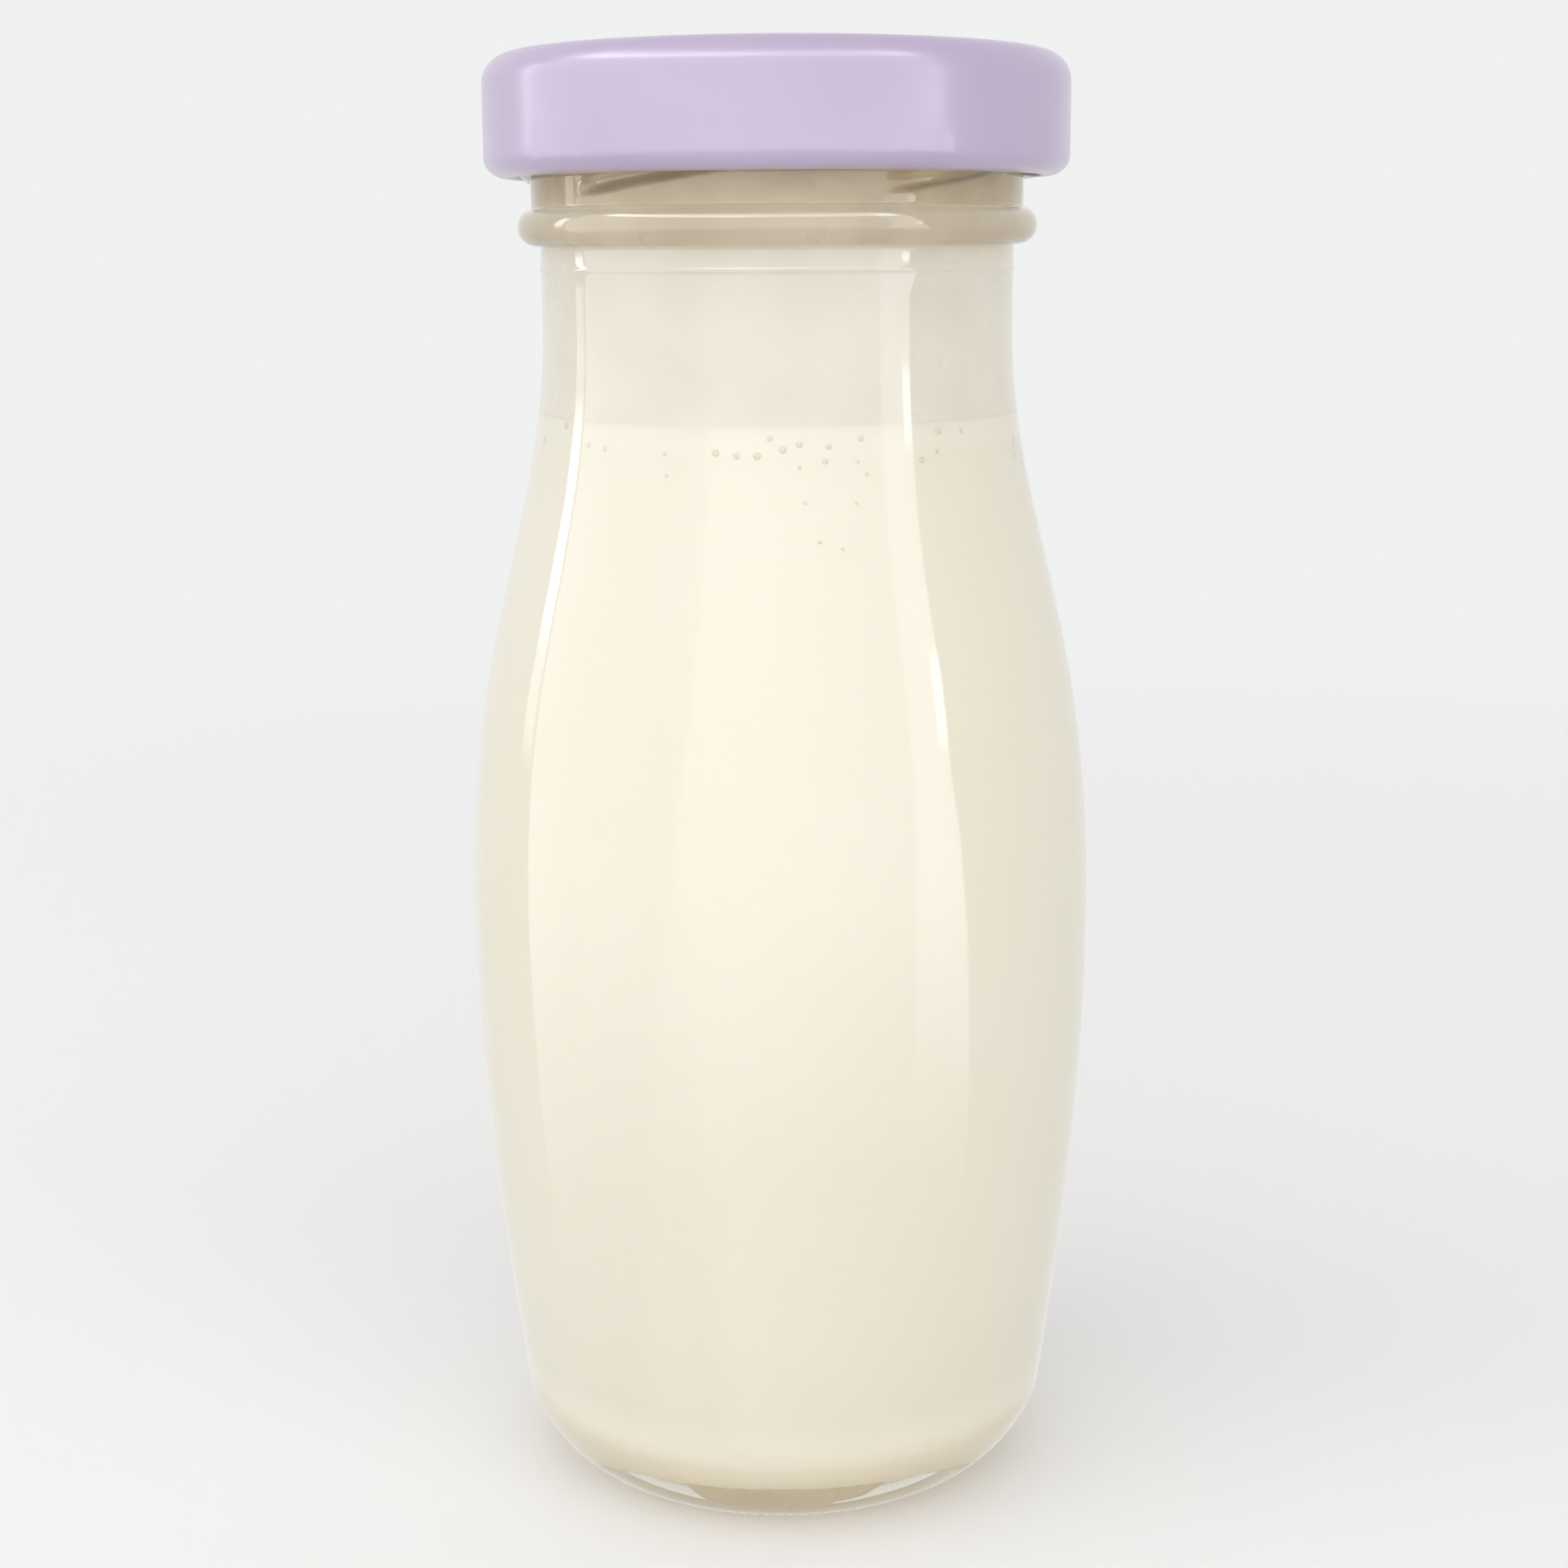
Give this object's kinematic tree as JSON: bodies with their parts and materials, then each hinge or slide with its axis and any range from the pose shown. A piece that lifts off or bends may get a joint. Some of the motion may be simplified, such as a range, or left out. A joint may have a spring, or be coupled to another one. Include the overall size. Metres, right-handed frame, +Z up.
{
  "type": "glass milk bottle with twist-off cap",
  "caption": "Small round-shouldered glass milk bottle, filled, closed by a pressed metal twist-off lug cap with a sealing ring.",
  "frame": {"origin": "on the bottle's axis, at the bearing surface of the base", "axes": "+Z up along the axis towards the cap, -Y towards the front, +X to the right seen from the front"},
  "size_m": [0.0556, 0.0556, 0.1265],
  "materials": {
    "clear_glass": "fire-polished clear soda-lime glass",
    "milk": "opaque cream-white liquid",
    "milk_film": "thin cream-white liquid film",
    "seal_compound": "soft off-white sealing compound",
    "lilac_lacquer": "glossy lilac lacquer on pressed tinplate"
  },
  "bodies": {
    "bottle": {"glass_bottle": "clear_glass", "milk": "milk", "milk_film": "milk_film"},
    "seal": {"sealing_ring": "seal_compound"},
    "cap": {"lug_cap": "lilac_lacquer"}
  },
  "joints": [
    {"name": "cap_lift", "type": "slide", "parent": "bottle", "child": "seal", "axis": [0, 0, 1], "range_m": [0, 0.0112]},
    {"name": "cap_turn", "type": "hinge", "parent": "seal", "child": "cap", "pos_m": [0, 0, 0.12], "axis": [0, 0, 1], "range_deg": [0, 200]}
  ],
  "couplings": [
    {"joint": "cap_lift", "follows": "cap_turn", "m_per_rad": 0.0031831}
  ]
}
